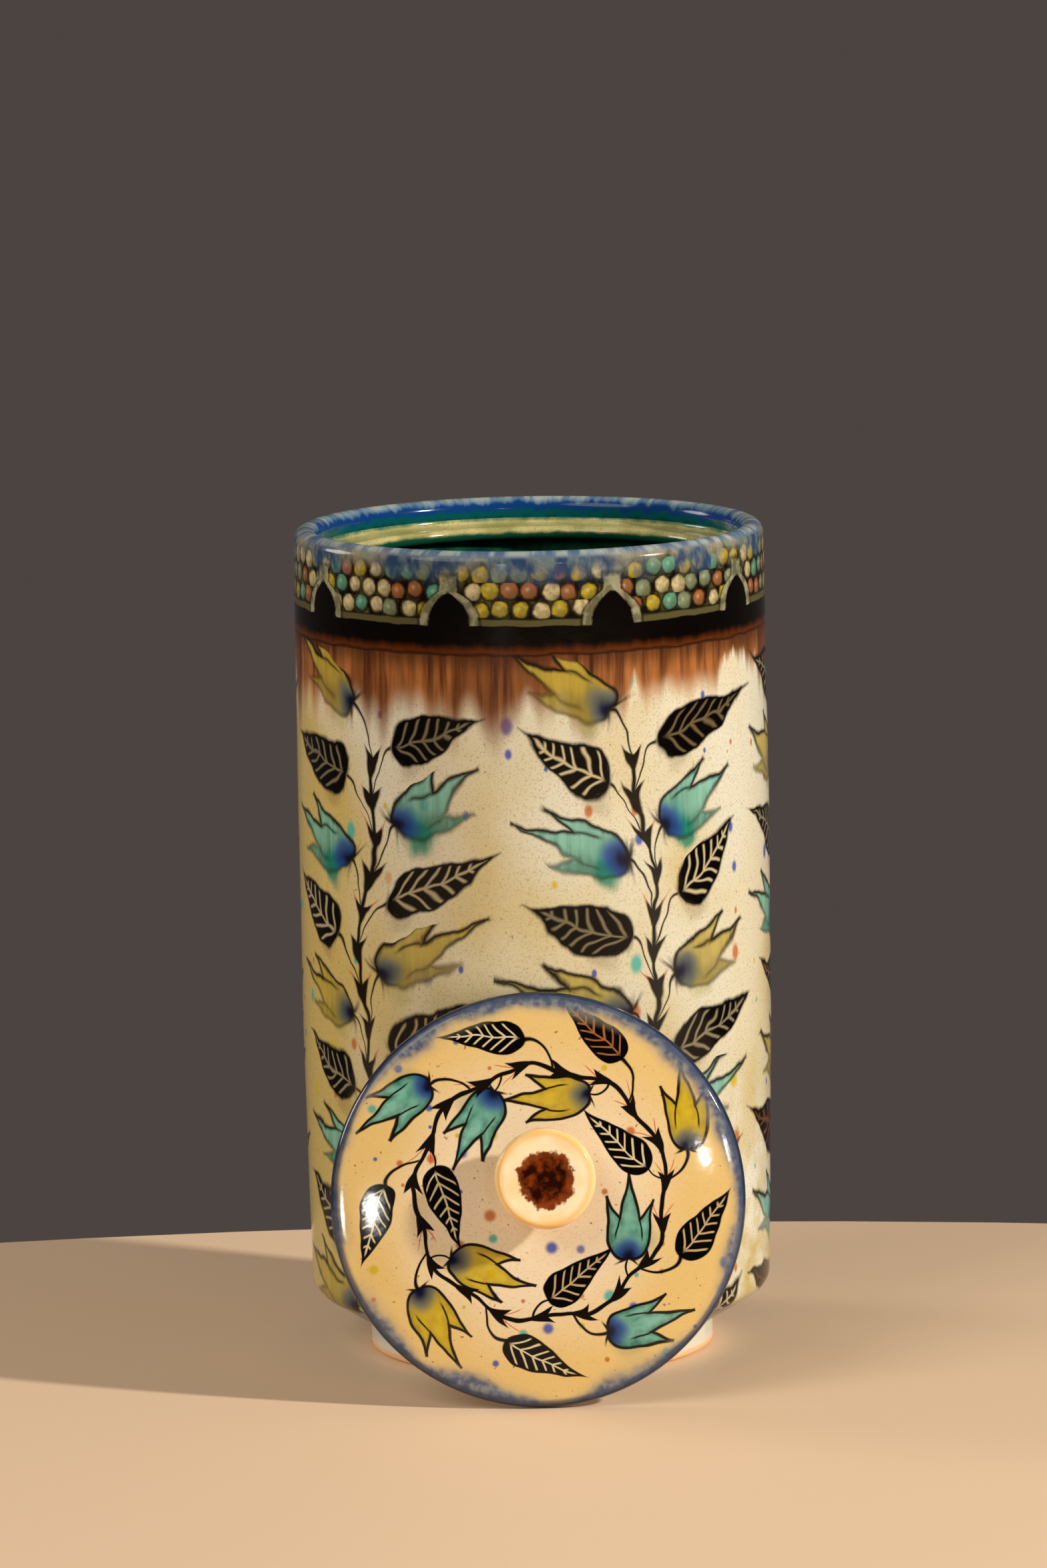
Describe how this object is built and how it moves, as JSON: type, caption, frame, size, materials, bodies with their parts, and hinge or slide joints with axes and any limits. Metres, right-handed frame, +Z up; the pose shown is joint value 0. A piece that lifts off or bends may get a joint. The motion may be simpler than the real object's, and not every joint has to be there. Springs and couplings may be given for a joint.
{
  "type": "lidded jar",
  "caption": "Tall cylindrical storage jar of glazed, painted earthenware on a bevelled foot, with a ledge inside its mouth for the lid; the knobbed lid leans on its front.",
  "frame": {"origin": "the middle of the foot's flat underside, on the jar's own axis", "axes": "+Z up along the jar's axis, -Y towards the leaning lid, which is the front, and +X to the right of someone who faces that front"},
  "size_m": [0.121, 0.1478, 0.213],
  "materials": {
    "body_glaze": "cream transparent glaze over a painted vine, with banded borders at the rim",
    "ledge_glaze": "speckled cream glaze that runs to green inside",
    "lid_glaze": "warm cream glaze over a painted ring of leaves, blue at the edge"
  },
  "bodies": {
    "jar": {"jar_base": "body_glaze", "jar_wall": "body_glaze", "lid_ledge": "ledge_glaze"},
    "lid": {"lid_plate": "lid_glaze", "lid_knob": "lid_glaze"}
  },
  "joints": [
    {"name": "lid_lift", "type": "slide", "parent": "jar", "child": "lid", "axis": [0, -0.9877, 0.1564], "range_m": [0, 0.15]}
  ]
}
